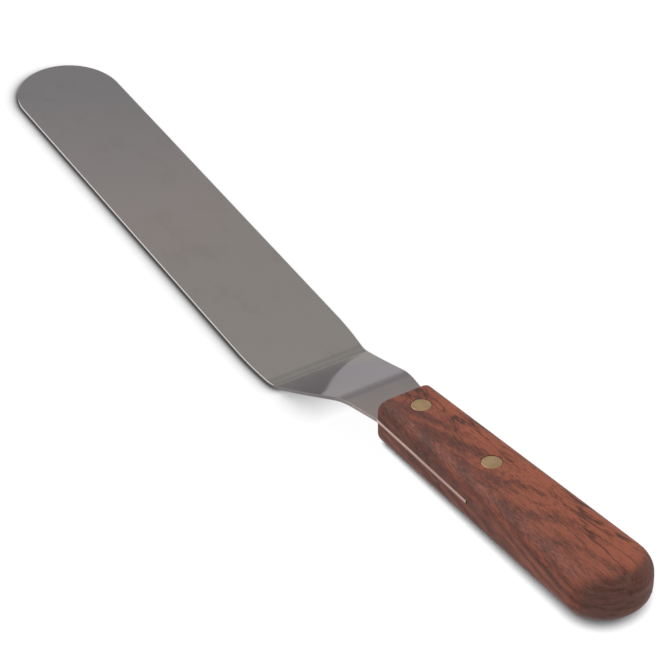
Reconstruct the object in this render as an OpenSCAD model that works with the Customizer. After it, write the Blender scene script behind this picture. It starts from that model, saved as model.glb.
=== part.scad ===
// Offset spatula: a one-piece steel blade with a cranked neck and a full-width tang,
// held in a slotted hardwood handle by two pairs of brass compression rivets.
// Origin: the middle of the blade's flat underside. +X runs to the handle, +Z is up.

/* [Blade] */
// Length of the flat blade, from the round tip to the heel fold
blade_length = 199; // [140:1:260]
// Width of the blade, which also sets the round of the tip
blade_width = 41.3; // [34:0.1:60]
// Thickness of the sheet that the blade, crank and tang are made of
sheet = 1.2; // [0.8:0.1:2]
// How far before the heel fold the blade's side and its taper would meet in a corner
shoulder_setback = 9; // [2:0.5:15]
// Radius that rounds that corner, seen from above
shoulder_radius = 140; // [20:1:160]

/* [Crank] */
// Length of the rising sheet between the two folds
crank_length = 35.7; // [24:0.1:60]
// Angle between the blade and the rising sheet
crank_angle = 29.8; // [20:0.1:45]
// Bend radius of the heel fold, on its upper side
heel_radius = 13; // [2:0.5:20]
// Bend radius of the upper fold, on its under side
neck_radius = 25; // [8:1:40]
// Length of bare sheet from the upper fold to the handle
neck_length = 15.9; // [10:0.1:30]
// Angle between the blade and the handle
handle_pitch = 10; // [5:0.1:15]

/* [Handle] */
// Length of the handle
handle_length = 116.2; // [100:0.1:150]
// Width of the handle at its front
front_width = 21.2; // [16:0.1:24]
// Width of the handle at its butt
butt_width = 29.2; // [28:0.1:33]
// Thickness of the handle
handle_thickness = 16.4; // [15:0.1:20]
// Height of the tang's middle above the middle of the handle
tang_lift = 0.55; // [0:0.05:1]
// Edge round at the front, in the thickness
front_edge_round = 4.2; // [2:0.1:6]
// How far the front face leans back where its edges round over, as a share of the sides' rounding
front_lean = 0.4; // [0.1:0.05:1]
// Corner round of the front, seen from above
front_corner_round = 1; // [0.5:0.1:6]
// Edge round at the butt, in the thickness
butt_edge_round = 6.3; // [4:0.1:7]
// Corner round of the butt, seen from above
butt_corner_round = 13.7; // [9:0.1:13.9]

/* [Rivets] */
// Distance from the handle's front to the first rivet
rivet_inset = 9.9; // [8:0.1:14]
// Distance between the two rivets
rivet_spacing = 37.4; // [25:0.1:45]
// Length of tang beyond the middle of the rear rivet
tang_margin = 3.7; // [3.2:0.1:12]
// Diameter of the flush rivet heads
head_diameter = 6.9; // [6:0.1:8]
// Thickness of the rivet heads
head_thickness = 1.2; // [0.8:0.1:2]
// Outer diameter of the tubular half
tube_diameter = 4; // [3.6:0.1:4.6]
// Diameter of the solid half's pin, which is pressed into the tube
pin_diameter = 2.5; // [2:0.1:2.8]

/* [Fits] */
// Clearance between the tang and each cheek of the slot
slot_clearance = 0.05; // [0.02:0.01:0.2]
// Length of saw cut left open behind the end of the tang
slot_runout = 0.6; // [0.2:0.1:3]
// Radial clearance round each rivet head and tube
rivet_clearance = 0.04; // [0.02:0.01:0.1]
// Radial clearance between the pin and the inside of its tube
pin_clearance = 0.02; // [0.01:0.01:0.05]
// Space between each rivet half's end and the other half's head
rivet_end_gap = 1; // [0.5:0.1:3]

/* [Hidden] */
$fn = 96;
// Extra reach of a cutting shape past the face that it opens
cut_over = 2;
// Steps in each fold and shoulder, in each corner of the handle and in its rounded edges
fold_steps = 12;
shoulder_steps = 10;
front_corner_steps = 4;
butt_corner_steps = 12;
edge_steps = 8;

// Places along the blade and the crank, on the middle of the sheet
tip_x = -blade_length / 2;
tip_centre_x = tip_x + blade_width / 2;
heel_x = blade_length / 2;
upper_fold_x = heel_x + crank_length * cos(crank_angle);
upper_fold_z = sheet / 2 + crank_length * sin(crank_angle);

// Places along the handle, measured from its front face
front_rivet_s = rivet_inset;
rear_rivet_s = rivet_inset + rivet_spacing;
tang_end_s = rear_rivet_s + tang_margin;
front_x = upper_fold_x + neck_length * cos(handle_pitch);
tang_end_x = front_x + tang_end_s * cos(handle_pitch);
sheet_top_z = upper_fold_z + (neck_length + tang_end_s) * sin(handle_pitch) + sheet;

// The handle's side is the common tangent of its front and butt corner rounds
front_corner = [front_corner_round, front_width / 2 - front_corner_round];
butt_corner = [handle_length - butt_corner_round, butt_width / 2 - butt_corner_round];
corner_offset = butt_corner - front_corner;
side_angle = atan2(corner_offset[1], corner_offset[0])
    + asin((butt_corner_round - front_corner_round) / norm(corner_offset));

// Distance from the middle plane to the handle's side, at a place along the handle
function side_y(s) =
    front_corner[1] + (front_corner_round + (s - front_corner[0]) * sin(side_angle)) / cos(side_angle);

// A list in the opposite order
function reversed(list) = [for (i = [len(list) - 1 : -1 : 0]) list[i]];

// A list of points with the sign of each second coordinate changed
function mirrored(points) = [for (point = points) [point[0], -point[1]]];

// Points round an arc, from one angle to another
function arc(centre, radius, from, to, steps) =
    [for (i = [0 : steps]) let (a = from + (to - from) * i / steps) centre + radius * [cos(a), sin(a)]];

// One surface of the folded sheet in side view, a distance above (+) or below (-) its middle
function sheet_surface(offset) =
    let (
        heel_run = (heel_radius + sheet / 2) * tan(crank_angle / 2),
        heel_centre = [heel_x - heel_run, sheet + heel_radius],
        neck_turn = crank_angle - handle_pitch,
        neck_run = (neck_radius + sheet / 2) * tan(neck_turn / 2),
        neck_start = [upper_fold_x, upper_fold_z] - neck_run * [cos(crank_angle), sin(crank_angle)],
        neck_centre = neck_start + (neck_radius + sheet / 2) * [sin(crank_angle), -cos(crank_angle)],
        tang_run = neck_length + tang_end_s,
        tang_end = [upper_fold_x, upper_fold_z] + tang_run * [cos(handle_pitch), sin(handle_pitch)]
    )
    concat(
        [[tip_x, sheet / 2 + offset]],
        arc(heel_centre, heel_radius + sheet / 2 - offset, -90, crank_angle - 90, fold_steps),
        arc(neck_centre, neck_radius + sheet / 2 + offset, 90 + crank_angle, 90 + handle_pitch, fold_steps),
        [tang_end + offset * [-sin(handle_pitch), cos(handle_pitch)]]
    );

// The shoulder's corner, the angle of the taper past it, and the middle of its rounding
shoulder = [heel_x - shoulder_setback, blade_width / 2];
taper_angle = atan2(shoulder[1] - side_y(0), front_x - shoulder[0]);
shoulder_centre = shoulder - [shoulder_radius * tan(taper_angle / 2), shoulder_radius];

// One side of the sheet's outline, seen from above and squared off at the tip
side_outline = concat(
    [[tip_x, blade_width / 2]],
    arc(shoulder_centre, shoulder_radius, 90, 90 - taper_angle, shoulder_steps),
    [[front_x, side_y(0)], [tang_end_x, side_y(tang_end_s)]]
);

// Places children on the tang's middle plane, with the handle's front face at x = 0
module on_tang() {
    translate([upper_fold_x, 0, upper_fold_z])
        rotate([0, -handle_pitch, 0])
            translate([neck_length, 0, 0])
                children();
}

// Places children on the handle's middle plane, with its front face at x = 0
module on_handle() {
    on_tang()
        translate([0, 0, -tang_lift])
            children();
}

// The untrimmed sheet, folded up at the heel and part of the way back at the neck
module folded_sheet() {
    rotate([90, 0, 0])
        linear_extrude(height = 2 * blade_width, center = true)
            polygon(concat(sheet_surface(sheet / 2), reversed(sheet_surface(-sheet / 2))));
}

// The round tip and the tapered outline, as a solid taller than the folded sheet
module trim_outline() {
    translate([0, 0, -cut_over])
        linear_extrude(height = sheet_top_z + 2 * cut_over)
            intersection() {
                polygon(concat(side_outline, reversed(mirrored(side_outline))));
                union() {
                    translate([tip_centre_x, 0])
                        circle(d = blade_width);
                    translate([tip_centre_x, -blade_width])
                        square([tang_end_x + cut_over - tip_centre_x, 2 * blade_width]);
                }
            }
}

// The steel part: blade, crank and tang in one folded sheet
module blade() {
    color("silver")
        difference() {
            intersection() {
                folded_sheet();
                trim_outline();
            }
            on_tang()
                for (s = [front_rivet_s, rear_rivet_s])
                    translate([s, 0, -sheet])
                        cylinder(d = tube_diameter + 2 * rivet_clearance, h = 2 * sheet);
        }
}

// Stations round one corner of the handle's outline. Each is [centre, corner round, edge round,
// slide, shrink, angle]: as the edge rounds over, the centre slides and the corner round shrinks.
function corner_stations(centre, corner_round, edge_round, slide, shrink, from, to, steps) =
    [for (i = [0 : steps])
        [centre, corner_round, edge_round, slide, shrink, from + (to - from) * i / steps]];

// Stations round the whole handle, anticlockwise seen from above
function form_stations() =
    let (
        side_normal = 90 + side_angle,
        slide = [front_lean, -(1 - front_lean * sin(side_angle)) / cos(side_angle)],
        butt = butt_corner_round,
        front = front_corner_round
    )
    concat(
        corner_stations([butt_corner[0], -butt_corner[1]], butt, butt_edge_round, [0, 0], 1,
            -side_normal, 0, butt_corner_steps),
        corner_stations(butt_corner, butt, butt_edge_round, [0, 0], 1,
            0, side_normal, butt_corner_steps),
        corner_stations(front_corner, front, front_edge_round, slide, 0,
            side_normal, 180, front_corner_steps),
        corner_stations([front_corner[0], -front_corner[1]], front, front_edge_round, [slide[0], -slide[1]], 0,
            180, 360 - side_normal, front_corner_steps)
    );

// The point of one station at an angle round the edge, from -90 underneath to 90 on top
function form_point(station, edge_angle, level) =
    let (
        inset = station[2] * (1 - cos(edge_angle)),
        centre = station[0] + station[3] * inset,
        radius = station[1] - station[4] * inset,
        height = handle_thickness / 2 - station[2]
    )
    [
        centre[0] + radius * cos(station[5]),
        centre[1] + radius * sin(station[5]),
        level * height + station[2] * sin(edge_angle)
    ];

// The handle's outer form: its outline, rounded over above and below
module handle_form() {
    stations = form_stations();
    count = len(stations);
    lower = [for (i = [0 : edge_steps]) for (st = stations) form_point(st, -90 + 90 * i / edge_steps, -1)];
    upper = [for (i = [0 : edge_steps]) for (st = stations) form_point(st, 90 * i / edge_steps, 1)];
    rings = 2 * edge_steps + 2;
    walls = [for (ring = [0 : rings - 2]) for (i = [0 : count - 1])
        let (next = (i + 1) % count, low = ring * count, high = low + count)
        [low + i, high + i, high + next, low + next]];
    floor_face = [for (i = [0 : count - 1]) i];
    top_face = [for (i = [count - 1 : -1 : 0]) (rings - 1) * count + i];
    polyhedron(points = concat(lower, upper), faces = concat(walls, [floor_face, top_face]));
}

// The wooden handle, with the saw cut for the tang and a stepped hole for each rivet
module handle() {
    slot_height = sheet + 2 * slot_clearance;
    color("sienna")
        on_handle()
            difference() {
                handle_form();
                translate([-cut_over, -butt_width, tang_lift - slot_height / 2])
                    cube([cut_over + tang_end_s + slot_runout, 2 * butt_width, slot_height]);
                for (s = [front_rivet_s, rear_rivet_s])
                    translate([s, 0, 0])
                        rivet_hole();
            }
}

// A through hole for the rivet's tube with a seat for a head at each end
module rivet_hole() {
    translate([0, 0, -handle_thickness / 2 - cut_over])
        cylinder(d = tube_diameter + 2 * rivet_clearance, h = handle_thickness + 2 * cut_over);
    for (side = [-1, 1])
        translate([0, 0, side * (handle_thickness / 2 + (cut_over - head_thickness) / 2)])
            cylinder(d = head_diameter + 2 * rivet_clearance, h = head_thickness + cut_over, center = true);
}

// The tubular half of a rivet, its head flush with the top of the handle
module rivet_tube() {
    head_under = handle_thickness / 2 - head_thickness;
    tube_end = rivet_end_gap - head_under;
    color("darkgoldenrod")
        difference() {
            union() {
                translate([0, 0, head_under])
                    cylinder(d = head_diameter, h = head_thickness);
                translate([0, 0, tube_end])
                    cylinder(d = tube_diameter, h = head_under - tube_end);
            }
            translate([0, 0, tube_end - cut_over])
                cylinder(d = pin_diameter + 2 * pin_clearance, h = head_under - tube_end + cut_over);
        }
}

// The solid half of a rivet, its head flush with the underside of the handle
module rivet_pin() {
    head_top = head_thickness - handle_thickness / 2;
    pin_end = -head_top - rivet_end_gap;
    color("goldenrod")
        union() {
            translate([0, 0, -handle_thickness / 2])
                cylinder(d = head_diameter, h = head_thickness);
            translate([0, 0, head_top])
                cylinder(d = pin_diameter, h = pin_end - head_top);
        }
}

// Places children at the middle of a rivet, at its distance from the handle's front face
module at_rivet(s) {
    on_handle()
        translate([s, 0, 0])
            children();
}

blade();
handle();
at_rivet(front_rivet_s) rivet_tube();  // front_rivet_tube
at_rivet(front_rivet_s) rivet_pin();  // front_rivet_pin
at_rivet(rear_rivet_s) rivet_tube();  // rear_rivet_tube
at_rivet(rear_rivet_s) rivet_pin();  // rear_rivet_pin
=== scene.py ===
"""Dresses the offset spatula: satin steel, rosewood and flush brass, in a plain studio."""

import logging
import math
from contextlib import contextmanager
from dataclasses import dataclass
from enum import Enum
from typing import Any, Callable, Iterator, Optional, Sequence

import bmesh
import bpy
from mathutils import Matrix, Vector


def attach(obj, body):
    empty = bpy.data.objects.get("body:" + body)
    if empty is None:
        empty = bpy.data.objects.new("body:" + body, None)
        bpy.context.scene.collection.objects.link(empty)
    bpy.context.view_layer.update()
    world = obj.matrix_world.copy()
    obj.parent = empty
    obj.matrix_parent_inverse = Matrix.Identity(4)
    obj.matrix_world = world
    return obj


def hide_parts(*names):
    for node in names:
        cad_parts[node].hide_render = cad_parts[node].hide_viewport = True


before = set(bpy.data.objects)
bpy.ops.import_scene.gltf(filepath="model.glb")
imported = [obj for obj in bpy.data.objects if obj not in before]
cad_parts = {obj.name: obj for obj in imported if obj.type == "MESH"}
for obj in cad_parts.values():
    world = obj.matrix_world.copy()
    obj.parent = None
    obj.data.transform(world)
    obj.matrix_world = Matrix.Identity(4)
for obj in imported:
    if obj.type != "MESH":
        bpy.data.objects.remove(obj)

Material = bpy.types.Material
Socket = bpy.types.NodeSocket
Thing = bpy.types.Object
Options = Optional[dict]
Pair = tuple[float, float]
Triple = tuple[float, float, float]

LOG = logging.getLogger("offset_spatula")
BODY = "root"
MM = 0.001

# The camera and the key lamp face this place on the blade, in metres.
AIM = Vector((0.087325, 0.014040, 0.001316))

BLACK: Triple = (0.0, 0.0, 0.0)
WHITE: Triple = (1.0, 1.0, 1.0)
STILL: Triple = (0.0, 0.0, 0.0)
LIFE_SIZE: Triple = (1.0, 1.0, 1.0)

# Points this close are one when a mesh is merged, and when it is cut.
WELD_GAP = 1e-6
CUT_GAP = 1e-7

# Faces less than this many degrees apart are one flat face when a mesh is merged.
FLAT_WITHIN = 0.2

# A face looks along an axis, or an edge runs along it, from this cosine on, and squarely from that one.
FACING = 0.9
SQUARE = 0.999


class Slot(Enum):
    """Names for the tool's three finishes."""

    STEEL = "steel"
    WOOD = "wood"
    BRASS = "brass"


class RivetHalf(Enum):
    """The halves of a compression rivet."""

    TUBE = "tube"
    PIN = "pin"


class Pick(Enum):
    """What is selected on the bench."""

    POINTS = "VERT"
    FACES = "FACE"


class RayKind(Enum):
    """The kinds of ray that the studio tells apart."""

    CAMERA = "Is Camera Ray"
    GLOSSY = "Is Glossy Ray"
    TRANSMISSION = "Is Transmission Ray"


# ---------------------------------------------------------------- shader maths


class Value:
    """A number socket that can be used in Python expressions."""

    def __init__(self, graph: "Graph", socket: Socket) -> None:
        """Keeps the graph and the socket that carries the number."""
        self.graph = graph
        self.socket = socket

    def math(self, operation: str, *others: Any, clamp: bool = False) -> "Value":
        """Adds one Math node.

        Args:
            operation: the Math node's operation.
            others: numbers or values for the remaining inputs.
            clamp: whether the result is kept between 0 and 1.

        Returns:
            The node's result.
        """
        settings = {"operation": operation, "use_clamp": clamp}
        return self.graph.value("ShaderNodeMath", settings, dict(enumerate((self, *others))))

    def __add__(self, other: Any) -> "Value":
        """self + other."""
        return self.math("ADD", other)

    def __radd__(self, other: Any) -> "Value":
        """other + self."""
        return self.math("ADD", other)

    def __sub__(self, other: Any) -> "Value":
        """self - other."""
        return self.math("SUBTRACT", other)

    def __rsub__(self, other: Any) -> "Value":
        """other - self."""
        return self.graph.number(other).math("SUBTRACT", self)

    def __mul__(self, other: Any) -> "Value":
        """self * other."""
        return self.math("MULTIPLY", other)

    def __rmul__(self, other: Any) -> "Value":
        """other * self."""
        return self.math("MULTIPLY", other)

    def __pow__(self, other: Any) -> "Value":
        """self ** other."""
        return self.math("POWER", other)

    def __rpow__(self, other: Any) -> "Value":
        """other ** self."""
        return self.graph.number(other).math("POWER", self)

    def magnitude(self) -> "Value":
        """The number without its sign."""
        return self.math("ABSOLUTE")

    def limited(self) -> "Value":
        """The number kept between 0 and 1."""
        return self.math("ADD", 0.0, clamp=True)

    def span(self, low: float, high: float, to_low: float = 0.0, to_high: float = 1.0) -> "Value":
        """Maps one range of the number smoothly to another.

        Args:
            low: value that becomes to_low.
            high: value that becomes to_high.
            to_low: first end of the new range.
            to_high: second end of the new range.

        Returns:
            The mapped number, held inside the new range.
        """
        settings = {"interpolation_type": "SMOOTHSTEP"}
        names = ("Value", "From Min", "From Max", "To Min", "To Max")
        inputs = dict(zip(names, (self, low, high, to_low, to_high)))
        return self.graph.value("ShaderNodeMapRange", settings, inputs, "Result")


class Graph:
    """The node tree of one material or world, with one way to add every node."""

    def __init__(self, tree: bpy.types.NodeTree) -> None:
        """Empties the tree and keeps it."""
        self.tree = tree
        tree.nodes.clear()

    def add(self, kind: str, settings: Options = None, inputs: Options = None) -> bpy.types.Node:
        """Adds a node.

        Args:
            kind: the node's type.
            settings: properties set before the inputs; "stops" fills a colour ramp.
            inputs: values, sockets or Values by input name or number.

        Returns:
            The new node.
        """
        node = self.tree.nodes.new(kind)
        for name, setting in (settings or {}).items():
            if name == "stops":
                self.fill_ramp(node.color_ramp, setting)
            else:
                setattr(node, name, setting)
        for name, item in (inputs or {}).items():
            socket = node.inputs[name]
            source = item.socket if isinstance(item, Value) else item
            if isinstance(source, Socket):
                self.tree.links.new(source, socket)
            else:
                socket.default_value = source
        return node

    @staticmethod
    def fill_ramp(ramp: bpy.types.ColorRamp, stops: Sequence) -> None:
        """Gives a ramp its stops.

        Args:
            ramp: the colour ramp, which has two stops at first.
            stops: (place, colour) pairs in rising order.
        """
        for place, colour in stops[2:]:
            ramp.elements.new(place)
        for element, (place, colour) in zip(ramp.elements, stops):
            element.position = place
            element.color = (*colour, 1.0)

    def value(self, kind: str, settings: Options, inputs: Options, output: Any = 0) -> Value:
        """Adds a node and wraps one of its outputs as a number."""
        return Value(self, self.add(kind, settings, inputs).outputs[output])

    def number(self, amount: float) -> Value:
        """A constant that an expression starts from.

        Args:
            amount: the constant.

        Returns:
            The constant as a value.
        """
        node = self.add("ShaderNodeValue")
        node.outputs[0].default_value = amount
        return Value(self, node.outputs[0])

    def place(self, scale: Triple = LIFE_SIZE, turn: Triple = STILL, move: Triple = STILL) -> Socket:
        """Object coordinates, turned and scaled for a pattern.

        Args:
            scale: repeats per metre along each axis.
            turn: rotation of the pattern in radians.
            move: shift of the pattern, after scaling.

        Returns:
            The vector socket.
        """
        coordinates = self.add("ShaderNodeTexCoord").outputs["Object"]
        inputs = {"Vector": coordinates, "Scale": scale, "Rotation": turn, "Location": move}
        return self.add("ShaderNodeMapping", {"vector_type": "POINT"}, inputs).outputs[0]

    def axis(self, vector: Socket, letter: str) -> Value:
        """One axis of a vector."""
        return self.value("ShaderNodeSeparateXYZ", {}, {"Vector": vector}, letter)

    def noise(self, vector: Socket, detail: float = 3.0, rough: float = 0.5, warp: float = 0.0) -> Value:
        """Soft noise between 0 and 1.

        Args:
            vector: where the pattern is read.
            detail: octaves of finer noise.
            rough: strength of the finer octaves.
            warp: how much the pattern distorts itself.

        Returns:
            The noise.
        """
        inputs = {"Vector": vector, "Scale": 1.0, "Detail": detail, "Roughness": rough, "Distortion": warp}
        return self.value("ShaderNodeTexNoise", {}, inputs, "Fac")

    def open_air(self, reach: Any, samples: int, **others: Any) -> Value:
        """How open a place is: 1 with nothing within reach, 0 shut in.

        Args:
            reach: how far away things still count, in metres.
            samples: how many ways are tried.
            others: the node's other inputs.

        Returns:
            The openness.
        """
        inputs = {"Distance": reach, **others}
        return self.value("ShaderNodeAmbientOcclusion", {"samples": samples}, inputs, "AO")

    def ray(self, kind: RayKind) -> Value:
        """1 for the rays of one kind, 0 for the others."""
        return self.value("ShaderNodeLightPath", {}, {}, kind.value)

    def seen(self) -> Value:
        """1 for the rays that the eye sends out, also those that pass through something clear."""
        return self.ray(RayKind.CAMERA) + self.ray(RayKind.TRANSMISSION)

    def mix(self, amount: Any, first: Any, second: Any, blend: str = "MIX") -> Socket:
        """Mixes two colours.

        Args:
            amount: how much of the second colour shows.
            first: a colour or socket.
            second: a colour or socket.
            blend: the blend mode.

        Returns:
            The mixed colour.
        """
        settings = {"data_type": "RGBA", "blend_type": blend}
        ends = [(*c, 1.0) if isinstance(c, tuple) else c for c in (first, second)]
        return self.add("ShaderNodeMix", settings, {0: amount, 6: ends[0], 7: ends[1]}).outputs[2]

    def ramp(self, amount: Value, stops: Sequence) -> Socket:
        """Turns a number into a colour by a ramp of stops."""
        return self.add("ShaderNodeValToRGB", {"stops": stops}, {"Fac": amount}).outputs["Color"]

    def bump(self, height: Value, strength: float, distance: float) -> Socket:
        """Makes a normal from a height.

        Args:
            height: the relief, 0 to 1.
            strength: how much of it shows.
            distance: its full height in metres.

        Returns:
            The normal.
        """
        inputs = {"Height": height, "Strength": strength, "Distance": distance}
        return self.add("ShaderNodeBump", {}, inputs).outputs["Normal"]

    def surface(self, **inputs: Any) -> Socket:
        """A Principled shader; underscores in the names stand for spaces."""
        named = {name.replace("_", " "): item for name, item in inputs.items()}
        return self.add("ShaderNodeBsdfPrincipled", {}, named).outputs[0]

    def finish(self, shader: Socket, kind: str = "ShaderNodeOutputMaterial") -> None:
        """Links the last shader to the output."""
        self.add(kind, {}, {"Surface": shader})


def new_material(name: str) -> tuple[Material, Graph]:
    """Makes an empty node material.

    Args:
        name: the material's name.

    Returns:
        The material and its graph.
    """
    material = bpy.data.materials.new(name)
    material.use_nodes = True
    return material, Graph(material.node_tree)


# -------------------------------------------------------------------- finishes


@dataclass(frozen=True)
class SatinSteel:
    """Stainless sheet with a fine polish, lightly clouded by use and cleaning."""

    name: str = "satin_steel"
    bright: Triple = (0.288, 0.270, 0.264)
    smudge: Triple = (0.262, 0.243, 0.232)
    gloss_low: float = 0.035
    gloss_high: float = 0.065
    # Tints for the painted reflection colour that changes along the sheet.
    cool: Triple = (0.985, 1.0, 1.05)
    warm: Triple = (1.01, 1.0, 0.955)
    rosy: Triple = (1.05, 1.0, 0.985)
    mauve: Triple = (0.88, 0.83, 0.915)
    blush: Triple = (1.17, 1.03, 0.99)
    fold_reach: Pair = (2.5 * MM, 5.0 * MM)
    fold_dulling: float = 0.10

    def material(self, folds: Sequence[float]) -> Material:
        """Builds the node material.

        Args:
            folds: where the folds lie along the tool; the sheet is a little duller in them.

        Returns:
            The material.
        """
        material, g = new_material(self.name)
        along = g.axis(g.place(), "X")
        bend = sum(1.0 - (along - fold).magnitude().span(*self.fold_reach) for fold in folds)
        patch = g.noise(g.place((14.0, 34.0, 34.0), move=(2.3, 0.7, 0.1)), detail=2.0)
        # Painted reflection colour: the tint changes along the sheet, cool at the tip, rosy in the middle,
        # warm at the heel, mauve on the crank and blushing at the neck, with a little noise.
        reach = g.axis(g.place((4.0, 4.0, 4.0), move=(0.4, 0.0, 0.0)), "X")
        reflection_tint = g.ramp(reach + (patch - 0.5) * 0.22, [
            (0.04, self.cool),
            (0.40, self.rosy),
            (0.70, self.warm),
            (0.79, self.warm),
            (0.82, self.mauve),
            (0.88, self.mauve),
            (0.93, self.rosy),
            (0.97, self.blush),
        ])
        clouds = g.noise(g.place((55.0, 75.0, 75.0)), detail=4.0, rough=0.6)
        wipes = g.noise(g.place((30.0, 420.0, 420.0)), detail=3.0, rough=0.55)
        polish = g.noise(g.place((120.0, 5200.0, 1600.0)), detail=2.0, rough=0.6)
        used = clouds.span(0.50, 0.72) * 0.6 + wipes.span(0.6, 0.8) * 0.2
        colour = g.mix(1.0, g.mix(used, self.bright, self.smudge), reflection_tint, "MULTIPLY")
        rough = clouds.span(0.3, 0.7, self.gloss_low, self.gloss_high) + (polish - 0.5) * 0.02
        rough = rough + bend * self.fold_dulling
        relief = g.bump(polish * 0.3 + wipes * 0.3 + clouds * 0.4, 0.05, 0.02 * MM)
        g.finish(g.surface(Base_Color=colour, Metallic=1.0, Roughness=rough, Normal=relief))
        return material


@dataclass(frozen=True)
class Rosewood:
    """Oiled rosewood: amber and brown layers, dark veins and open pores along the grain, with painted shade
    on its left side and butt.
    """

    name: str = "rosewood"
    amber: Triple = (0.332, 0.093, 0.049)
    brown: Triple = (0.188, 0.052, 0.030)
    umber: Triple = (0.100, 0.034, 0.024)
    black: Triple = (0.040, 0.016, 0.013)
    # Grey-brown for the painted shade on the left side, and for the end grain.
    side_shade_and_cut_tone: Triple = (0.124, 0.064, 0.055)
    width_span: Pair = (-13 * MM, 12 * MM)
    length_span: Pair = (146 * MM, 250 * MM)

    def material(self, pitch: float) -> Material:
        """Builds the node material.

        Args:
            pitch: the handle's rise towards its butt, in radians, which the grain follows.

        Returns:
            The material.
        """
        material, g = new_material(self.name)
        turn = (0.0, pitch, 0.0)
        layers = self.layers(g, turn)
        place = g.place((14.0, 190.0, 150.0), turn, (3.1, 0.4, 1.7))
        figure = g.noise(place, detail=3.0, rough=0.6, warp=0.5)
        place = g.place((75.0, 900.0, 640.0), turn, (0.4, 2.2, 0.9))
        streaks = g.noise(place, detail=2.0, rough=0.6, warp=0.6)
        fibres = g.noise(g.place((230.0, 2600.0, 2200.0), turn), detail=2.0, rough=0.7)
        # Painted shade: towards the handle's left side the wood turns darker, greyer and lower in contrast;
        # along its length it grows a little lighter towards the butt.
        across = g.axis(g.place(), "Y").span(*self.width_span)
        along = g.axis(g.place(), "X").span(*self.length_span)
        tone = figure * 0.18 + streaks * 0.28 + layers * 0.10 + fibres * 0.44 - 0.5
        tone = tone * (across * 0.4 + 1.02) + 0.522 + (across - 0.5) * 0.15 + (along - 0.35) * 0.09
        base = g.ramp(tone, [
            (0.38, self.umber),
            (0.47, self.brown),
            (0.59, self.amber),
        ])
        pores = g.noise(g.place((120.0, 2900.0, 2300.0), turn, (1.3, 0.2, 0.6)), detail=1.0)
        pits = pores.span(0.58, 0.68)
        colour = g.mix(self.veins(g, turn) * 0.74, base, self.black)
        colour = g.mix(pits * 0.48, colour, self.black)
        # Painted shade: grey-brown laid over the left side.
        colour = g.mix((1.0 - across) * 0.22, colour, self.side_shade_and_cut_tone)
        # Partly real end grain, partly painted shade: the butt end and its rounded edges take the dark cut
        # colour.
        colour = g.mix(self.end_grain_and_butt_shade(g, turn) * 0.70, colour, self.cut(g, turn))
        rough = figure.span(0.35, 0.65, 0.56, 0.48) + pits * 0.2
        relief = g.bump((1.0 - pits) * 0.6 + fibres * 0.25 + streaks * 0.15, 0.30, 0.14 * MM)
        looks = {"Base_Color": colour, "Roughness": rough, "Normal": relief}
        g.finish(g.surface(Specular_IOR_Level=0.25, **looks))
        return material

    @staticmethod
    def layers(g: Graph, turn: Triple) -> Value:
        """Growth layers round a pith that lies below and beside the handle.

        Args:
            g: the material's graph.
            turn: the grain's rotation.

        Returns:
            The layers, 0 to 1.
        """
        settings = {"wave_type": "RINGS", "rings_direction": "X"}
        inputs = {
            "Vector": g.place((4.0, 100.0, 100.0), turn, (0.0, -2.6, 5.5)),
            "Scale": 0.85,
            "Distortion": 7.0,
            "Detail": 3.0,
            "Detail Scale": 1.1,
            "Detail Roughness": 0.6,
        }
        return g.value("ShaderNodeTexWave", settings, inputs, "Fac")

    @staticmethod
    def end_grain_and_butt_shade(g: Graph, turn: Triple) -> Value:
        """How far a surface cuts across the grain, where the oil soaks in and darkens it; the same
        darkening is painted shade on the butt end and its rounded edges.

        Args:
            g: the material's graph.
            turn: the grain's rotation.

        Returns:
            0 along the grain, 1 across it.
        """
        inputs = {"Vector": g.add("ShaderNodeTexCoord").outputs["Normal"], "Rotation": turn}
        way = g.add("ShaderNodeMapping", {"vector_type": "NORMAL"}, inputs).outputs[0]
        return g.axis(way, "X").magnitude().span(0.14, 0.55)

    def cut(self, g: Graph, turn: Triple) -> Socket:
        """The colour of the wood where it is cut across, with its dark rings.

        Args:
            g: the material's graph.
            turn: the grain's rotation.

        Returns:
            The colour.
        """
        place = g.place((50.0, 170.0, 1000.0), turn, (2.0, 0.7, 0.1))
        rings = g.noise(place, detail=3.0, rough=0.65, warp=0.4)
        return g.mix(rings.span(0.44, 0.66) * 0.8, self.side_shade_and_cut_tone, self.black)

    @staticmethod
    def veins(g: Graph, turn: Triple) -> Value:
        """Thin dark lines that wander along the grain and gather in places.

        Args:
            g: the material's graph.
            turn: the grain's rotation.

        Returns:
            1 on a line, 0 off it.
        """
        place = g.place((7.0, 105.0, 80.0), turn, (5.2, 1.1, 0.3))
        path = g.noise(place, detail=3.0, rough=0.55, warp=0.9)
        fade = g.noise(g.place((16.0, 60.0, 50.0), turn, (0.8, 4.0, 2.0)), detail=1.0)
        line = 1.0 - (path - 0.5).magnitude().span(0.004, 0.022)
        return line * fade.span(0.38, 0.58)


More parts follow.
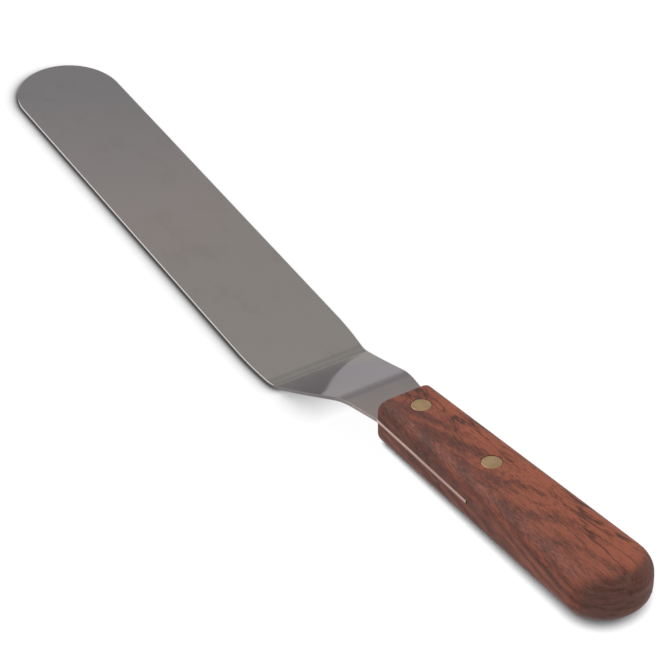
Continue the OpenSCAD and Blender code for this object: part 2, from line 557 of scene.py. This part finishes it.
@dataclass(frozen=True)
class FlushBrass:
    """Brass ground flush with the wood and dulled by handling, with painted shade round its rim."""

    name: str = "flush_brass"
    colour: Triple = (0.47, 0.315, 0.175)
    dull: Triple = (0.38, 0.245, 0.13)
    seam_shade: Triple = (0.10, 0.06, 0.035)
    seam: float = 0.4 * MM

    def material(self) -> Material:
        """Builds the node material.

        Returns:
            The material.
        """
        material, g = new_material(self.name)
        stain = g.noise(g.place((420.0, 420.0, 420.0)), detail=4.0, rough=0.6)
        grind = g.noise(g.place((500.0, 9000.0, 500.0)), detail=2.0)
        colour = g.mix(stain.span(0.35, 0.7), self.colour, self.dull)
        # Painted shade: the brass darkens where its rounded rim dips into the seam with the wood.
        shut_in = 1.0 - g.open_air(self.seam, samples=8)
        colour = g.mix(shut_in.span(0.1, 0.5), colour, self.seam_shade)
        rough = stain.span(0.3, 0.7, 0.30, 0.42) + (grind - 0.5) * 0.08
        relief = g.bump(grind, 0.15, 0.03 * MM)
        g.finish(g.surface(Base_Color=colour, Metallic=1.0, Roughness=rough, Normal=relief))
        return material


# ------------------------------------------------------------------ the studio


def direction(azimuth: float, elevation: float) -> Vector:
    """The way from the object to a place around it.

    Args:
        azimuth: degrees round from -Y towards +X.
        elevation: degrees above the floor.

    Returns:
        A unit vector.
    """
    a, e = math.radians(azimuth), math.radians(elevation)
    return Vector((math.sin(a) * math.cos(e), -math.cos(a) * math.cos(e), math.sin(e)))


def hang(light: bpy.types.Light, back: Vector, place: Vector) -> Thing:
    """Hangs a lamp in the scene and turns it.

    Args:
        light: the light, whose name the lamp takes.
        back: the way back from what it shines on.
        place: where it hangs.

    Returns:
        The lamp.
    """
    lamp = bpy.data.objects.new(light.name, light)
    bpy.context.scene.collection.objects.link(lamp)
    lamp.location = place
    lamp.rotation_mode = "QUATERNION"
    lamp.rotation_quaternion = back.to_track_quat("Z", "Y")
    return lamp


@dataclass
class SoftLamp:
    """A round soft lamp that faces a place on the tool."""

    aim: Vector
    azimuth: float = -60.0
    elevation: float = 42.0
    distance: float = 1.2
    size: float = 1.2
    power: float = 7.7

    def build(self) -> Thing:
        """Adds the lamp and turns it to its aim.

        Returns:
            The lamp.
        """
        light = bpy.data.lights.new("key", "AREA")
        light.shape = "DISK"
        light.size = self.size
        light.energy = self.power
        back = direction(self.azimuth, self.elevation)
        return hang(light, back, self.aim + back * self.distance)


@dataclass
class FloorSun:
    """A soft sun that lays the tool's shadow on the floor."""

    azimuth: float = 41.5
    elevation: float = 50.2
    spread: float = 6.0
    power: float = 23.0

    def build(self) -> Thing:
        """Adds the sun.

        Returns:
            The lamp.
        """
        light = bpy.data.lights.new("floor_sun", "SUN")
        light.angle = math.radians(self.spread)
        light.energy = self.power
        return hang(light, direction(self.azimuth, self.elevation), Vector())


@dataclass
class Camera:
    """The viewpoint: where it looks, from how far, and how it is tilted."""

    aim: Vector
    azimuth: float = 52.402
    elevation: float = 41.419
    tilt: float = 6.32
    distance: float = 0.79204
    lens: float = 122.0265
    sensor: float = 36.0
    nearest: float = 0.01
    farthest: float = 100.0

    def build(self) -> None:
        """Adds the camera and makes it the scene's."""
        back = direction(self.azimuth, self.elevation)
        a, t = math.radians(self.azimuth), math.radians(self.tilt)
        level = Vector((math.cos(a), math.sin(a), 0.0))
        rise = back.cross(level)
        right = level * math.cos(t) + rise * math.sin(t)
        up = rise * math.cos(t) - level * math.sin(t)
        data = bpy.data.cameras.new("camera")
        data.sensor_width = self.sensor
        data.lens = self.lens
        data.clip_start = self.nearest
        data.clip_end = self.farthest
        camera = bpy.data.objects.new("camera", data)
        bpy.context.scene.collection.objects.link(camera)
        turn = Matrix((right, up, back)).transposed().to_4x4()
        camera.matrix_world = Matrix.Translation(self.aim + back * self.distance) @ turn
        bpy.context.scene.camera = camera


@dataclass
class Studio:
    """A pale floor in a softly lit room."""

    centre: Vector
    floor_size: float = 12.0
    floor_tone: float = 0.073
    floor_white: float = 0.16
    floor_glow: float = 0.04
    gloss_share: float = 0.5
    contact_reach: float = 4.8 * MM
    contact_blur: float = 5.6 * MM
    contact_depth: float = 2.4
    contact_side: Triple = (0.18, 0.69, 0.71)
    contact_least: float = 0.03
    contact_mirrored: float = 0.4
    contact_end: Pair = (96 * MM, 103 * MM)
    overhang_reach: float = 10.5 * MM
    overhang_gain: float = 1.03
    overhang_depth: float = 0.5
    backdrop: tuple[Pair, ...] = (
        (0.00, 0.62),
        (0.12, 0.60),
        (0.16, 0.55),
        (0.20, 0.54),
        (0.24, 0.62),
        (0.30, 0.72),
        (0.50, 0.70),
    )
    ceiling: tuple[Pair, ...] = (
        (0.576, 0.62),
        (0.62, 0.76),
        (0.68, 0.82),
        (0.74, 0.78),
        (0.84, 0.5),
    )

    def shadow(self, g: Graph, mirrored: Value) -> Value:
        """The object's soft contact shadow, dark on one side and gone before the sheet ends.

        Args:
            g: the floor's graph.
            mirrored: 1 where the floor is seen in the metal.

        Returns:
            1 in the open, near 0 in the deepest shadow.
        """
        side = g.add("ShaderNodeCombineXYZ", {}, dict(enumerate(self.contact_side))).outputs[0]
        where = g.add("ShaderNodeTexCoord").outputs["Object"]
        grain = g.value("ShaderNodeTexWhiteNoise", {}, {"Vector": where}, "Value")
        reach = grain * self.contact_blur + (self.contact_reach - self.contact_blur / 2)
        near = g.open_air(reach, samples=16, Normal=side).limited()
        over = (g.open_air(self.overhang_reach, samples=8) * self.overhang_gain).limited()
        run = g.axis(g.place(move=(self.centre.x, 0.0, 0.0)), "X")
        depth = (1.0 - run.span(*self.contact_end)) * (1.0 - mirrored * (1.0 - self.contact_mirrored))
        light = near ** (depth * self.contact_depth) * over ** self.overhang_depth
        return light * (1.0 - self.contact_least) + self.contact_least

    def pale_floor(self) -> Material:
        """Builds the floor's material: pale grey for the room, white to the eye.

        Returns:
            The material.
        """
        material, g = new_material("pale_floor")
        mirrored = g.ray(RayKind.GLOSSY)
        seen = (g.seen() + mirrored * self.gloss_share).limited()
        light = self.shadow(g, mirrored)
        dim = g.mix(light, BLACK, (self.floor_tone,) * 3)
        white = g.mix(light, BLACK, (self.floor_white,) * 3)
        glow = {"Color": g.mix(light, BLACK, WHITE), "Strength": self.floor_glow}
        plain = g.add("ShaderNodeBsdfDiffuse", {}, {"Color": dim}).outputs[0]
        lit = g.add("ShaderNodeBsdfDiffuse", {}, {"Color": white}).outputs[0]
        shine = g.add("ShaderNodeEmission", {}, glow).outputs[0]
        bright = g.add("ShaderNodeAddShader", {}, {0: lit, 1: shine}).outputs[0]
        g.finish(g.add("ShaderNodeMixShader", {}, {0: seen, 1: plain, 2: bright}).outputs[0])
        return material

    def floor(self) -> Thing:
        """Adds the floor.

        Returns:
            The floor.
        """
        bpy.ops.object.select_all(action="DESELECT")
        bpy.ops.mesh.primitive_plane_add(size=self.floor_size, location=(*self.centre.xy, 0.0))
        floor = bpy.context.object
        floor.name = "floor"
        floor.data.name = "floor"
        floor.data.materials.append(self.pale_floor())
        return floor

    def room(self) -> None:
        """Sets the world: white to the eye, a soft grey room with a lit ceiling to the tool."""
        world = bpy.data.worlds.new("room")
        bpy.context.scene.world = world
        world.use_nodes = True
        g = Graph(world.node_tree)
        height = g.axis(g.add("ShaderNodeTexCoord").outputs["Generated"], "Z")
        tone = g.ramp(height, [(place, (level,) * 3) for place, level in self.backdrop + self.ceiling])
        colour = g.mix(g.seen().limited(), tone, WHITE)
        shader = g.add("ShaderNodeBackground", {}, {"Color": colour}).outputs[0]
        g.finish(shader, "ShaderNodeOutputWorld")

    @staticmethod
    def shine_on(lamp: Thing, things: list, casters: Sequence = ()) -> None:
        """Limits a lamp to the things that it is set up for.

        Args:
            lamp: the lamp.
            things: what it lights.
            casters: what casts a shadow in its light, if not everything.
        """
        for job, chosen in (("receiver", things), ("blocker", casters)):
            if chosen:
                group = bpy.data.collections.new(f"{lamp.name}_{job}s")
                for thing in chosen:
                    group.objects.link(thing)
                setattr(lamp.light_linking, f"{job}_collection", group)

    def build(self, pieces: list) -> None:
        """Makes the floor, the room and the lamps, and fixes the view transform.

        Args:
            pieces: the tool's pieces; the soft lamp lights them, and all but the sheet shade the floor.
        """
        floor = self.floor()
        self.room()
        self.shine_on(SoftLamp(self.centre).build(), pieces)
        casters = [piece for piece in pieces if piece.name != "blade_sheet"]
        self.shine_on(FloorSun().build(), [floor], casters)
        bpy.context.scene.view_settings.view_transform = "Standard"


# ------------------------------------------------------------------- the bench


class Workpiece:
    """A mesh on the bench, shaped with the edit-mode tools as by hand."""

    def __init__(self, name: str, start: Callable, **sizes: Any) -> None:
        """Adds a primitive with nothing else selected.

        Args:
            name: the piece's name.
            start: the primitive's operator.
            sizes: the operator's sizes and place.
        """
        bpy.ops.object.select_all(action="DESELECT")
        start(**sizes)
        self.piece = bpy.context.object
        self.piece.name = name
        self.piece.data.name = name

    @classmethod
    def copy_of(cls, node: str, name: str) -> "Workpiece":
        """Starts from a merged copy of a CAD node's solid.

        Args:
            node: the CAD node.
            name: the new piece's name.

        Returns:
            The workpiece.
        """
        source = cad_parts[node]

        def duplicate() -> None:
            """Copies the node and its mesh."""
            source.select_set(True)
            bpy.context.view_layer.objects.active = source
            bpy.ops.object.duplicate(linked=False)
            bpy.context.view_layer.objects.active = bpy.context.selected_objects[0]

        work = cls(name, duplicate)
        if work.piece.data.has_custom_normals:
            bpy.ops.mesh.customdata_custom_splitnormals_clear()
        with work.editing():
            bpy.ops.mesh.remove_doubles(threshold=WELD_GAP)
            bpy.ops.mesh.dissolve_limited(angle_limit=math.radians(FLAT_WITHIN))
        return work

    def alone(self) -> None:
        """Selects this piece and nothing else."""
        bpy.ops.object.select_all(action="DESELECT")
        self.piece.select_set(True)
        bpy.context.view_layer.objects.active = self.piece

    @contextmanager
    def editing(self) -> Iterator[None]:
        """Opens edit mode on this piece alone, with all of it selected.

        Yields:
            Nothing; edit mode closes afterwards.
        """
        self.alone()
        bpy.ops.object.mode_set(mode="EDIT")
        bpy.ops.mesh.select_mode(type="VERT")
        bpy.ops.mesh.select_all(action="SELECT")
        yield
        bpy.ops.object.mode_set(mode="OBJECT")

    def select(self, pick: Pick, wanted: Callable) -> None:
        """Selects the points or the faces that pass a test, in edit mode.

        Args:
            pick: points or faces.
            wanted: a test on one of them.
        """
        bpy.ops.mesh.select_mode(type=pick.value)
        bpy.ops.mesh.select_all(action="DESELECT")
        mesh = bmesh.from_edit_mesh(self.piece.data)
        parts = mesh.verts if pick is Pick.POINTS else mesh.faces
        found = [part for part in parts if wanted(part)]
        for part in found:
            part.select = True
        mesh.select_flush_mode()
        bmesh.update_edit_mesh(self.piece.data)

    @staticmethod
    def apply_place() -> None:
        """Puts the selected piece's place and turn into its mesh."""
        bpy.ops.object.transform_apply(location=True, rotation=True, scale=True)

    @staticmethod
    def extrude(move: Vector) -> None:
        """Extrudes what is selected and moves it."""
        bpy.ops.mesh.extrude_region_move(TRANSFORM_OT_translate={"value": tuple(move)})

    def modify(self, kind: str, **settings: Any) -> None:
        """Adds a modifier and applies it.

        Args:
            kind: the modifier's type.
            settings: its properties.
        """
        self.alone()
        modifier = self.piece.modifiers.new(kind.lower(), kind)
        for name, setting in settings.items():
            setattr(modifier, name, setting)
        bpy.ops.object.modifier_apply(modifier=modifier.name)

    def settle(self, turn: float, place: Vector) -> None:
        """Tilts the piece about the Y axis, sets it in place and applies both.

        Args:
            turn: angle in radians, by the right-hand rule.
            place: where the piece's own origin goes.
        """
        self.alone()
        self.piece.rotation_euler = (0.0, turn, 0.0)
        self.piece.location = place
        self.apply_place()

    def finish(self, material: Material, slot: Slot, node: str, smooth: float) -> Thing:
        """Smooths and dresses the piece and lets it stand for its CAD node.

        Args:
            material: the finish.
            slot: not used.
            node: the CAD node that it replaces.
            smooth: edges sharper than this stay sharp, in degrees.

        Returns:
            The finished piece.
        """
        with self.editing():
            bpy.ops.mesh.normals_make_consistent(inside=False)
        bpy.ops.object.shade_smooth_by_angle(angle=math.radians(smooth))
        self.modify("WEIGHTED_NORMAL", keep_sharp=True)
        self.piece.data.materials.clear()
        self.piece.data.materials.append(material)
        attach(self.piece, BODY)
        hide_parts(node)
        return self.piece


# ------------------------------------------------------------- sub-assemblies


@dataclass(frozen=True)
class Layout:
    """The sizes that the sub-assemblies share, in metres and degrees."""

    blade_length: float = 199 * MM
    blade_width: float = 41.3 * MM
    sheet: float = 1.2 * MM
    shoulder_setback: float = 9 * MM
    shoulder_radius: float = 140 * MM
    crank_length: float = 35.7 * MM
    crank_angle: float = 29.8
    heel_radius: float = 13 * MM
    neck_radius: float = 25 * MM
    neck_length: float = 15.9 * MM
    pitch: float = 10.0
    handle_length: float = 116.2 * MM
    front_width: float = 21.2 * MM
    butt_width: float = 29.2 * MM
    thickness: float = 16.4 * MM
    tang_lift: float = 0.55 * MM
    front_round: float = 1.0 * MM
    butt_round: float = 13.7 * MM
    rivet_inset: float = 9.9 * MM
    rivet_spacing: float = 37.4 * MM
    tang_margin: float = 3.7 * MM

    def heel(self) -> Vector:
        """The heel fold, on the middle of the sheet."""
        return Vector((self.blade_length / 2, 0.0, self.sheet / 2))

    def riser(self) -> Vector:
        """The way the crank rises."""
        a = math.radians(self.crank_angle)
        return Vector((math.cos(a), 0.0, math.sin(a)))

    def along(self) -> Vector:
        """The way the tang and the handle run."""
        a = math.radians(self.pitch)
        return Vector((math.cos(a), 0.0, math.sin(a)))

    def above(self) -> Vector:
        """Straight out of the handle's top."""
        a = math.radians(self.pitch)
        return Vector((-math.sin(a), 0.0, math.cos(a)))

    def fold(self) -> Vector:
        """The upper fold, on the middle of the sheet."""
        return self.heel() + self.riser() * self.crank_length

    def on_handle(self, run: float, height: float = 0.0) -> Vector:
        """A place in the middle plane of the handle.

        Args:
            run: distance from the handle's front.
            height: distance above the middle of its thickness.

        Returns:
            The place.
        """
        raised = self.above() * (height - self.tang_lift)
        return self.fold() + self.along() * (self.neck_length + run) + raised

    def rivet_runs(self) -> dict[str, float]:
        """Each rivet's distance from the handle's front, by its name."""
        return {"front": self.rivet_inset, "rear": self.rivet_inset + self.rivet_spacing}

    def tang_run(self) -> float:
        """Length of the tang inside the handle."""
        return self.rivet_inset + self.rivet_spacing + self.tang_margin

    def side(self, run: float) -> float:
        """Half the handle's width, on the straight side that touches both its rounded ends.

        Args:
            run: distance from the handle's front.

        Returns:
            Half the width there.
        """
        front = Vector((self.front_round, self.front_width / 2 - self.front_round))
        butt = Vector((self.handle_length - self.butt_round, self.butt_width / 2 - self.butt_round))
        gap = butt - front
        angle = math.atan2(gap.y, gap.x) + math.asin((self.butt_round - self.front_round) / gap.length)
        return front.y + (self.front_round + (run - front.x) * math.sin(angle)) / math.cos(angle)


@dataclass
class BladeSheet:
    """The steel part: blade, crank and tang, folded from one sheet."""

    layout: Layout
    tip_steps: int = 160
    shoulder_steps: int = 10
    heel_steps: int = 20
    slack_steps: int = 12
    neck_steps: int = 18
    slack_turn: float = 2.16
    slack_radius: float = 535 * MM
    edge_round: float = 0.4 * MM
    edge_steps: int = 5
    crank_share: float = 0.2
    sharp_above: float = 40.0
    hole_radius: float = 2.04 * MM
    hole_steps: int = 48
    smooth_below: float = 35.0

    def build(self, material: Material, ground: Material) -> Thing:
        """Folds, trims and finishes the sheet.

        Args:
            material: the steel finish.
            ground: the finish of the tang's edges, which are ground with the wood.

        Returns:
            The finished piece.
        """
        size = self.layout
        radius = size.blade_width / 2
        tip = Vector((radius - size.blade_length / 2, 0.0, size.sheet / 2))
        shape = {"vertices": self.tip_steps, "radius": radius, "fill_type": "NGON", "location": tip}
        work = Workpiece("blade_sheet", bpy.ops.mesh.primitive_circle_add, **shape)
        work.apply_place()
        with work.editing():
            bpy.ops.mesh.bisect(plane_co=tip, plane_no=(1, 0, 0), clear_outer=True, threshold=CUT_GAP)
            work.select(Pick.POINTS, lambda point: point.co.x > tip.x - WELD_GAP)
            self.fold_up(work, tip.x)
            self.trim(work)
        work.modify("SOLIDIFY", thickness=size.sheet, offset=0.0, use_even_offset=True)
        self.ease_edges(work)
        self.drill(work)
        sheet = work.finish(material, Slot.STEEL, "blade", self.smooth_below)
        self.grind(sheet, ground)
        return sheet

    def fold_up(self, work: Workpiece, start: float) -> None:
        """Runs the selected edge along the blade, round both folds and to the tang's end.

        The heel's fold ends in a slack stretch, where the crank still curves a little before it
        runs straight.

        Args:
            work: the sheet, in edit mode, with its end edge selected.
            start: where that edge lies along the blade.
        """
        size = self.layout
        half = size.sheet / 2
        crank = math.radians(size.crank_angle)
        slack = math.radians(self.slack_turn)
        firm = crank - slack
        turn_back = math.radians(size.crank_angle - size.pitch)
        neck_run = (size.neck_radius + half) * math.tan(turn_back / 2)
        under = Vector((math.sin(crank), 0.0, -math.cos(crank)))
        under_firm = Vector((math.sin(firm), 0.0, -math.cos(firm)))
        tight = Vector((math.sin(firm), 0.0, 1 - math.cos(firm))) * (size.heel_radius + half)
        gentle = (under - under_firm) * self.slack_radius
        rise = tight.z + gentle.z
        heel_start = size.heel().x + rise / math.tan(crank) - tight.x - gentle.x
        work.extrude(Vector((heel_start - start, 0.0, 0.0)))
        centre = Vector((heel_start, 0.0, size.sheet + size.heel_radius))
        bpy.ops.mesh.spin(steps=self.heel_steps, angle=firm, center=centre, axis=(0, 1, 0))
        centre = Vector((heel_start, 0.0, half)) + tight - under_firm * self.slack_radius
        bpy.ops.mesh.spin(steps=self.slack_steps, angle=slack, center=centre, axis=(0, 1, 0))
        work.extrude(size.riser() * (size.crank_length - rise / math.sin(crank) - neck_run))
        centre = size.fold() - size.riser() * neck_run + under * (size.neck_radius + half)
        bpy.ops.mesh.spin(steps=self.neck_steps, angle=turn_back, center=centre, axis=(0, -1, 0))
        work.extrude(size.along() * (size.neck_length - neck_run))
        work.extrude(size.along() * size.tang_run())

    def outline(self) -> list[Vector]:
        """Corners of one side of the sheet from the shoulder to the tang's end, seen from above.

        Returns:
            The corners, as plane vectors.
        """
        size = self.layout
        cos_pitch = math.cos(math.radians(size.pitch))
        shoulder = Vector((size.heel().x - size.shoulder_setback, size.blade_width / 2))
        front = Vector((size.fold().x + size.neck_length * cos_pitch, size.side(0.0)))
        end = Vector((front.x + size.tang_run() * cos_pitch, size.side(size.tang_run())))
        taper = math.atan2(shoulder.y - front.y, front.x - shoulder.x)
        centre = shoulder - Vector((math.tan(taper / 2), 1.0)) * size.shoulder_radius
        turns = [taper * step / self.shoulder_steps for step in range(self.shoulder_steps + 1)]
        curve = [centre + Vector((math.sin(turn), math.cos(turn))) * size.shoulder_radius for turn in turns]
        return [*curve, front, end]

    def trim(self, work: Workpiece) -> None:
        """Cuts the shoulders, the taper and the tang's sides, and takes the offcuts away.

        Args:
            work: the sheet, in edit mode and still without thickness.
        """
        corners = self.outline()
        for corner in corners[:-1]:
            bpy.ops.mesh.select_all(action="SELECT")
            bpy.ops.mesh.bisect(plane_co=(corner.x, 0.0, 0.0), plane_no=(1, 0, 0), threshold=CUT_GAP)
        for first, last in zip(corners, corners[1:]):
            for hand in (1, -1):
                normal = (first.y - last.y, hand * (last.x - first.x), 0.0)
                at = (first.x, hand * first.y, 0.0)
                work.select(Pick.FACES, lambda face: first.x < face.calc_center_median().x < last.x)
                bpy.ops.mesh.bisect(plane_co=at, plane_no=normal, threshold=CUT_GAP)
            slope = (last.y - first.y) / (last.x - first.x)

            def offcut(face: bmesh.types.BMFace) -> bool:
                """Tells whether a face lies outside this stretch of the outline.

                Args:
                    face: a face of the sheet.

                Returns:
                    True for an offcut.
                """
                centre = face.calc_center_median()
                half = first.y + slope * (centre.x - first.x)
                return first.x < centre.x < last.x and abs(centre.y) > half

            work.select(Pick.FACES, offcut)
            bpy.ops.mesh.delete(type="FACE")

    def ease_edges(self, work: Workpiece) -> None:
        """Rounds the blade's edges, and the crank's a little, as far as the handle.

        Args:
            work: the sheet, solid and in object mode.
        """
        heel = self.layout.heel().x
        front = self.outline()[-2].x + 0.1 * MM
        with work.editing():
            bpy.ops.mesh.select_mode(type="EDGE")
            bpy.ops.mesh.select_all(action="DESELECT")
            bpy.ops.mesh.edges_select_sharp(sharpness=math.radians(self.sharp_above))
            mesh = bmesh.from_edit_mesh(work.piece.data)
            weight = mesh.edges.layers.float.new("bevel_weight_edge")
            for edge in mesh.edges:
                low, high = sorted(end.co.x for end in edge.verts)
                upright = abs(edge.verts[0].co.z - edge.verts[1].co.z) > FACING * edge.calc_length()
                if edge.select and high < front and not upright:
                    edge[weight] = 1.0 if low < heel else self.crank_share
            bmesh.update_edit_mesh(work.piece.data)
        settings = {"segments": self.edge_steps, "limit_method": "WEIGHT", "use_clamp_overlap": False}
        work.modify("BEVEL", width=self.edge_round, **settings)

    def drill(self, work: Workpiece) -> None:
        """Drills the tang for the rivets.

        Args:
            work: the sheet, solid and in object mode.
        """
        size = self.layout
        bore = {"vertices": self.hole_steps, "radius": self.hole_radius, "depth": 4 * size.sheet}
        for name, run in size.rivet_runs().items():
            bit = Workpiece(f"{name}_drill", bpy.ops.mesh.primitive_cylinder_add, **bore)
            bit.settle(-math.radians(size.pitch), size.on_handle(run, size.tang_lift))
            work.modify("BOOLEAN", operation="DIFFERENCE", object=bit.piece, solver="EXACT")
            bpy.data.objects.remove(bit.piece)

    def grind(self, sheet: Thing, ground: Material) -> None:
        """Dresses the tang's outer edges, which lie bare between the handle's halves.

        Args:
            sheet: the finished sheet.
            ground: the finish of those edges.
        """
        sheet.data.materials.append(ground)
        front = self.outline()[-2].x
        clear_of_holes = self.layout.front_width / 4
        for face in sheet.data.polygons:
            outer = abs(face.center.y) > clear_of_holes and abs(face.normal.y) > FACING
            if outer and face.center.x > front:
                face.material_index = 1


@dataclass
class Handle:
    """The slotted rosewood handle."""

    layout: Layout
    smooth_below: float = 25.0

    def build(self, material: Material) -> Thing:
        """Finishes a merged copy of the handle's solid.

        Args:
            material: the wood finish.

        Returns:
            The finished piece.
        """
        work = Workpiece.copy_of("handle", "rosewood_handle")
        return work.finish(material, Slot.WOOD, "handle", self.smooth_below)


@dataclass
class CompressionRivet:
    """A two-piece rivet: a tubular half from above and a solid half pressed into it from below."""

    layout: Layout
    name: str
    run: float
    head_radius: float = 3.45 * MM
    head_depth: float = 1.2 * MM
    head_steps: int = 72
    tube_radius: float = 2.0 * MM
    bore_radius: float = 1.27 * MM
    pin_radius: float = 1.25 * MM
    end_gap: float = 1.0 * MM
    rim_round: float = 0.28 * MM
    rim_steps: int = 3
    crown: float = 0.05 * MM
    crown_rises: tuple[float, ...] = (0.4, 0.3, 0.2, 0.1)
    crown_step: float = 0.22
    smooth_below: float = 35.0

    def half(self, kind: RivetHalf, material: Material) -> Thing:
        """Turns one half, head up at the origin, and sets it in the handle.

        The tube goes in from above, the pin from below.

        Args:
            kind: which half.
            material: the brass finish.

        Returns:
            The finished piece.
        """
        shank = self.tube_radius if kind is RivetHalf.TUBE else self.pin_radius
        shank_run = self.layout.thickness - self.end_gap - 2 * self.head_depth
        disc = {"vertices": self.head_steps, "radius": self.head_radius, "depth": self.head_depth}
        disc["location"] = (0, 0, -self.head_depth / 2)
        work = Workpiece(f"{self.name}_{kind.value}_half", bpy.ops.mesh.primitive_cylinder_add, **disc)
        work.apply_place()
        with work.editing():
            work.select(Pick.FACES, lambda face: face.normal.z > FACING)
            bpy.ops.mesh.bevel(offset=self.rim_round, segments=self.rim_steps, affect="EDGES")
            work.select(Pick.FACES, lambda face: face.normal.z > SQUARE)
            for rise in self.crown_rises:
                bpy.ops.mesh.inset(thickness=self.head_radius * self.crown_step)
                bpy.ops.transform.translate(value=(0, 0, self.crown * rise))
            work.select(Pick.FACES, lambda face: face.normal.z < -FACING)
            bpy.ops.mesh.inset(thickness=self.head_radius - shank)
            work.extrude(Vector((0, 0, -shank_run)))
            if kind is RivetHalf.TUBE:
                bpy.ops.mesh.inset(thickness=shank - self.bore_radius)
                work.extrude(Vector((0, 0, shank_run)))
        pitch = math.radians(self.layout.pitch)
        height = self.layout.thickness / 2 - self.crown
        if kind is RivetHalf.TUBE:
            work.settle(-pitch, self.layout.on_handle(self.run, height))
        else:
            work.settle(math.pi - pitch, self.layout.on_handle(self.run, -height))
        return work.finish(material, Slot.BRASS, f"{self.name}_rivet_{kind.value}", self.smooth_below)

    def build(self, material: Material) -> list[Thing]:
        """Makes both halves."""
        return [self.half(kind, material) for kind in RivetHalf]


def corners(box: Sequence) -> list:
    """A box's two corners as plain lists."""
    return [list(corner) for corner in box]


def main() -> None:
    """Builds the camera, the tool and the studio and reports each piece."""
    logging.basicConfig(level=logging.INFO, format="%(name)s: %(message)s")
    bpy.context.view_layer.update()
    Camera(AIM).build()
    layout = Layout()
    folds = (layout.heel().x, layout.fold().x)
    steel = SatinSteel().material(folds)
    ground = SatinSteel(
        name="ground_steel",
        bright=(0.50, 0.41, 0.375),
        smudge=(0.45, 0.37, 0.335),
        gloss_low=0.56,
        gloss_high=0.66,
    ).material(folds)
    wood = Rosewood().material(math.radians(layout.pitch))
    brass = FlushBrass().material()
    pieces = [BladeSheet(layout).build(steel, ground), Handle(layout).build(wood)]
    for name, run in layout.rivet_runs().items():
        pieces += CompressionRivet(layout, name, run).build(brass)
    for piece in pieces:
        LOG.info("built %s: %d faces", piece.name, len(piece.data.polygons))
    Studio(AIM).build(pieces)


if __name__ == "__main__":
    main()
